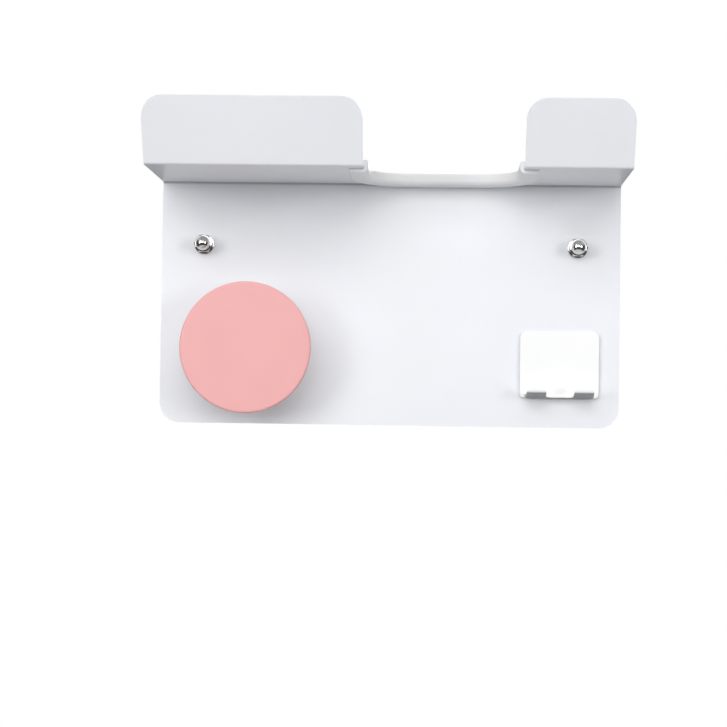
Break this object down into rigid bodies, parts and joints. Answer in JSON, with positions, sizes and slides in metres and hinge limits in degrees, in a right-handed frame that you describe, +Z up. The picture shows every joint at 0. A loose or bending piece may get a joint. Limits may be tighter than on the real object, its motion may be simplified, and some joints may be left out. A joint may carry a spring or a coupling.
{
  "type": "hair dryer holder",
  "caption": "Wall-mounted bent steel holder: slotted shelf with upturned lips and an edge guard for a hair dryer, a turning cord winder and a small forked hook.",
  "frame": {"origin": "on the wall plane, midway between the two wall studs, at stud height", "axes": "+X to the right seen from the front, +Y into the wall, +Z up; the holder stands out towards -Y"},
  "size_m": [0.27, 0.1023, 0.1784],
  "materials": {
    "powder_coat": "semi-gloss white powder coat with a fine orange peel",
    "hook_enamel": "smooth bright white enamel",
    "pink_plastic": "matte moulded plastic",
    "white_plastic": "satin moulded plastic",
    "nickel": "polished nickel plate",
    "zinc_steel": "bright zinc plate",
    "nylon": "natural nylon",
    "bush_plastic": "black acetal",
    "adhesive_film": "clear adhesive sheet on white liner",
    "silicone": "satin white moulded silicone",
    "foam_tape": "closed-cell foam tape"
  },
  "bodies": {
    "bracket": {"holder_plate": "powder_coat", "edge_guard": "silicone", "left_adhesive_pad": "adhesive_film", "right_adhesive_pad": "adhesive_film", "left_stud_base": "zinc_steel", "right_stud_base": "zinc_steel", "left_wall_stud": "zinc_steel", "right_wall_stud": "zinc_steel", "left_nut_washer": "nickel", "right_nut_washer": "nickel", "left_cap_nut": "nickel", "right_cap_nut": "nickel", "hub_washer": "nylon", "winder_bush": "bush_plastic", "winder_screw": "zinc_steel", "winder_washer": "zinc_steel", "winder_nut": "zinc_steel", "accessory_hook": "hook_enamel", "hook_tape": "foam_tape"},
    "winder": {"winder_disc": "pink_plastic", "winder_hub": "white_plastic"}
  },
  "joints": [
    {"name": "winder_spin", "type": "hinge", "parent": "bracket", "child": "winder", "pos_m": [-0.0823, -0.0185, -0.0615], "axis": [0, 1, 0], "continuous": true}
  ]
}
